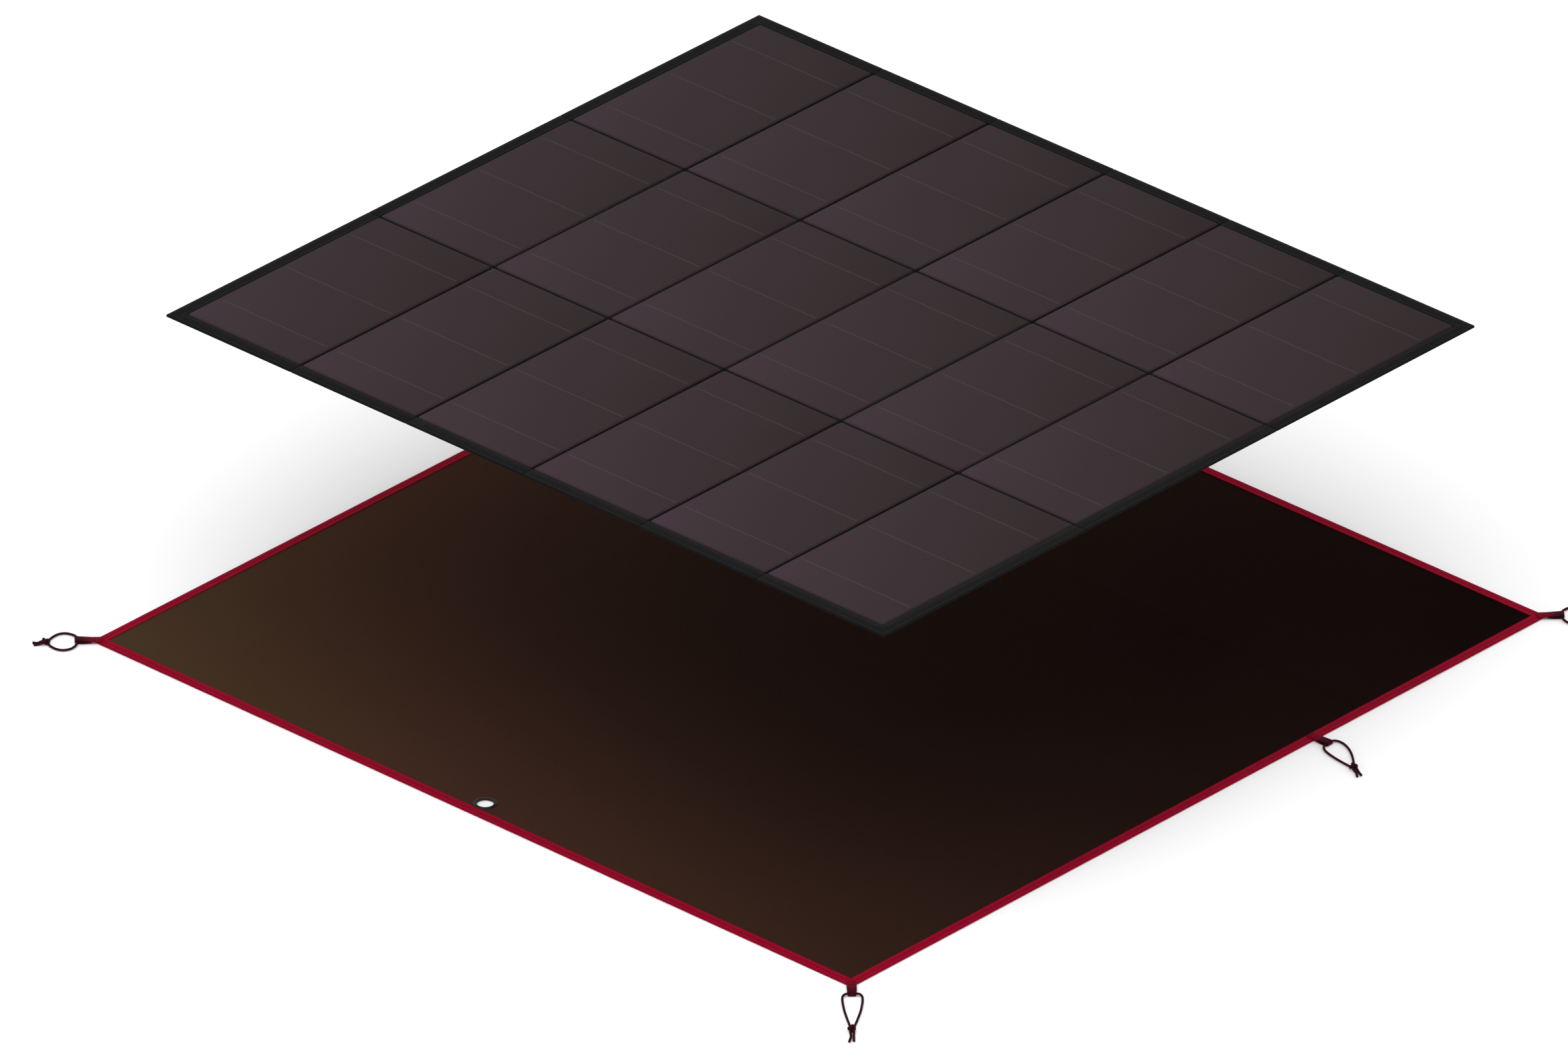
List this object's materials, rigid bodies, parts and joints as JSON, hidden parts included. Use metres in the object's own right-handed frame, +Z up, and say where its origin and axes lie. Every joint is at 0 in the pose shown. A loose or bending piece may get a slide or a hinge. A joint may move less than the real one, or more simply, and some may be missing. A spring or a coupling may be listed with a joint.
{
  "type": "folding solar blanket",
  "caption": "Folding thin-film solar blanket with hinged fabric-backed panels, raised above a bound ground sheet with tie loops and an eyelet.",
  "frame": {"origin": "on the floor under the middle of the ground sheet", "axes": "+X along the long side of the grid of panels, +Y across the grid, +Z up"},
  "size_m": [1.7832, 1.7682, 0.5238],
  "materials": {
    "sheet_canvas": "plain-woven coated ground-sheet cloth, dark brown, matt",
    "binding_tape": "crimson woven binding tape, double stitched",
    "tab_webbing": "crimson nylon webbing with bar tacks",
    "tie_cord": "dark maroon braided cord",
    "eyelet_metal": "black lacquered metal, satin",
    "solar_laminate": "thin-film cells under a clear satin film, purplish brown",
    "carrier_fabric": "black coated fabric with stitched hem",
    "box_plastic": "moulded black plastic, fine texture",
    "terminal_plastic": "moulded grey plastic"
  },
  "bodies": {
    "ground_sheet": {"ground_sheet_cloth": "sheet_canvas", "binding_front": "binding_tape", "binding_right": "binding_tape", "binding_back": "binding_tape", "binding_left": "binding_tape", "eyelet_barrel": "eyelet_metal", "eyelet_washer": "eyelet_metal", "tab_front_left": "tab_webbing", "tie_loop_front_left": "tie_cord", "tab_front_right": "tab_webbing", "tie_loop_front_right": "tie_cord", "tab_back_right": "tab_webbing", "tie_loop_back_right": "tie_cord", "tab_back_left": "tab_webbing", "tie_loop_back_left": "tie_cord", "tab_side_right": "tab_webbing", "tie_loop_side_right": "tie_cord", "tab_side_left": "tab_webbing", "tie_loop_side_left": "tie_cord"},
    "panel_near_1": {"carrier_near_1": "carrier_fabric", "laminate_near_1": "solar_laminate"},
    "panel_mid_1": {"carrier_mid_1": "carrier_fabric", "laminate_mid_1": "solar_laminate", "junction_box_tray": "box_plastic", "junction_box_lid": "box_plastic", "terminal_block": "terminal_plastic", "output_gland": "box_plastic"},
    "panel_far_1": {"carrier_far_1": "carrier_fabric", "laminate_far_1": "solar_laminate"},
    "panel_near_2": {"carrier_near_2": "carrier_fabric", "laminate_near_2": "solar_laminate"},
    "panel_mid_2": {"carrier_mid_2": "carrier_fabric", "laminate_mid_2": "solar_laminate"},
    "panel_far_2": {"carrier_far_2": "carrier_fabric", "laminate_far_2": "solar_laminate"},
    "panel_near_3": {"carrier_near_3": "carrier_fabric", "laminate_near_3": "solar_laminate"},
    "panel_mid_3": {"carrier_mid_3": "carrier_fabric", "laminate_mid_3": "solar_laminate"},
    "panel_far_3": {"carrier_far_3": "carrier_fabric", "laminate_far_3": "solar_laminate"},
    "panel_near_4": {"carrier_near_4": "carrier_fabric", "laminate_near_4": "solar_laminate"},
    "panel_mid_4": {"carrier_mid_4": "carrier_fabric", "laminate_mid_4": "solar_laminate"},
    "panel_far_4": {"carrier_far_4": "carrier_fabric", "laminate_far_4": "solar_laminate"},
    "panel_near_5": {"carrier_near_5": "carrier_fabric", "laminate_near_5": "solar_laminate"},
    "panel_mid_5": {"carrier_mid_5": "carrier_fabric", "laminate_mid_5": "solar_laminate"},
    "panel_far_5": {"carrier_far_5": "carrier_fabric", "laminate_far_5": "solar_laminate"},
    "panel_near_6": {"carrier_near_6": "carrier_fabric", "laminate_near_6": "solar_laminate"},
    "panel_mid_6": {"carrier_mid_6": "carrier_fabric", "laminate_mid_6": "solar_laminate"},
    "panel_far_6": {"carrier_far_6": "carrier_fabric", "laminate_far_6": "solar_laminate"}
  },
  "joints": [
    {"name": "array_lift", "type": "slide", "parent": "ground_sheet", "child": "panel_mid_1", "axis": [0, 0, 1], "range_m": [-0.5, 0]},
    {"name": "row_fold_1", "type": "hinge", "parent": "panel_mid_1", "child": "panel_mid_2", "pos_m": [-0.468, 0, 0.5335], "axis": [0, -1, 0], "range_deg": [0, 179.97]},
    {"name": "row_fold_2", "type": "hinge", "parent": "panel_mid_2", "child": "panel_mid_3", "pos_m": [-0.234, 0, 0.5197], "axis": [0, -1, 0], "range_deg": [-179.97, 0]},
    {"name": "row_fold_3", "type": "hinge", "parent": "panel_mid_3", "child": "panel_mid_4", "pos_m": [0, 0, 0.5335], "axis": [0, -1, 0], "range_deg": [0, 179.97]},
    {"name": "row_fold_4", "type": "hinge", "parent": "panel_mid_4", "child": "panel_mid_5", "pos_m": [0.234, 0, 0.5197], "axis": [0, -1, 0], "range_deg": [-179.97, 0]},
    {"name": "row_fold_5", "type": "hinge", "parent": "panel_mid_5", "child": "panel_mid_6", "pos_m": [0.468, 0, 0.5335], "axis": [0, -1, 0], "range_deg": [0, 179.97]},
    {"name": "near_fold_1", "type": "hinge", "parent": "panel_mid_1", "child": "panel_near_1", "pos_m": [-0.585, -0.2085, 0.5243], "axis": [-1, 0, 0], "range_deg": [0, 179.97]},
    {"name": "far_fold_1", "type": "hinge", "parent": "panel_mid_1", "child": "panel_far_1", "pos_m": [-0.585, 0.2085, 0.5266], "axis": [1, 0, 0], "range_deg": [0, 179.97]},
    {"name": "near_fold_2", "type": "hinge", "parent": "panel_mid_2", "child": "panel_near_2", "pos_m": [-0.351, -0.2085, 0.5243], "axis": [-1, 0, 0], "range_deg": [0, 179.97]},
    {"name": "far_fold_2", "type": "hinge", "parent": "panel_mid_2", "child": "panel_far_2", "pos_m": [-0.351, 0.2085, 0.5266], "axis": [1, 0, 0], "range_deg": [0, 179.97]},
    {"name": "near_fold_3", "type": "hinge", "parent": "panel_mid_3", "child": "panel_near_3", "pos_m": [-0.117, -0.2085, 0.5243], "axis": [-1, 0, 0], "range_deg": [0, 179.97]},
    {"name": "far_fold_3", "type": "hinge", "parent": "panel_mid_3", "child": "panel_far_3", "pos_m": [-0.117, 0.2085, 0.5266], "axis": [1, 0, 0], "range_deg": [0, 179.97]},
    {"name": "near_fold_4", "type": "hinge", "parent": "panel_mid_4", "child": "panel_near_4", "pos_m": [0.117, -0.2085, 0.5243], "axis": [-1, 0, 0], "range_deg": [0, 179.97]},
    {"name": "far_fold_4", "type": "hinge", "parent": "panel_mid_4", "child": "panel_far_4", "pos_m": [0.117, 0.2085, 0.5266], "axis": [1, 0, 0], "range_deg": [0, 179.97]},
    {"name": "near_fold_5", "type": "hinge", "parent": "panel_mid_5", "child": "panel_near_5", "pos_m": [0.351, -0.2085, 0.5243], "axis": [-1, 0, 0], "range_deg": [0, 179.97]},
    {"name": "far_fold_5", "type": "hinge", "parent": "panel_mid_5", "child": "panel_far_5", "pos_m": [0.351, 0.2085, 0.5266], "axis": [1, 0, 0], "range_deg": [0, 179.97]},
    {"name": "near_fold_6", "type": "hinge", "parent": "panel_mid_6", "child": "panel_near_6", "pos_m": [0.585, -0.2085, 0.5243], "axis": [-1, 0, 0], "range_deg": [0, 179.97]},
    {"name": "far_fold_6", "type": "hinge", "parent": "panel_mid_6", "child": "panel_far_6", "pos_m": [0.585, 0.2085, 0.5266], "axis": [1, 0, 0], "range_deg": [0, 179.97]}
  ],
  "couplings": [
    {"joint": "row_fold_2", "follows": "row_fold_1", "ratio": -1},
    {"joint": "row_fold_3", "follows": "row_fold_1", "ratio": 1},
    {"joint": "row_fold_4", "follows": "row_fold_1", "ratio": -1},
    {"joint": "row_fold_5", "follows": "row_fold_1", "ratio": 1},
    {"joint": "near_fold_2", "follows": "near_fold_1", "ratio": 1},
    {"joint": "far_fold_2", "follows": "far_fold_1", "ratio": 1},
    {"joint": "near_fold_3", "follows": "near_fold_1", "ratio": 1},
    {"joint": "far_fold_3", "follows": "far_fold_1", "ratio": 1},
    {"joint": "near_fold_4", "follows": "near_fold_1", "ratio": 1},
    {"joint": "far_fold_4", "follows": "far_fold_1", "ratio": 1},
    {"joint": "near_fold_5", "follows": "near_fold_1", "ratio": 1},
    {"joint": "far_fold_5", "follows": "far_fold_1", "ratio": 1},
    {"joint": "near_fold_6", "follows": "near_fold_1", "ratio": 1},
    {"joint": "far_fold_6", "follows": "far_fold_1", "ratio": 1}
  ]
}
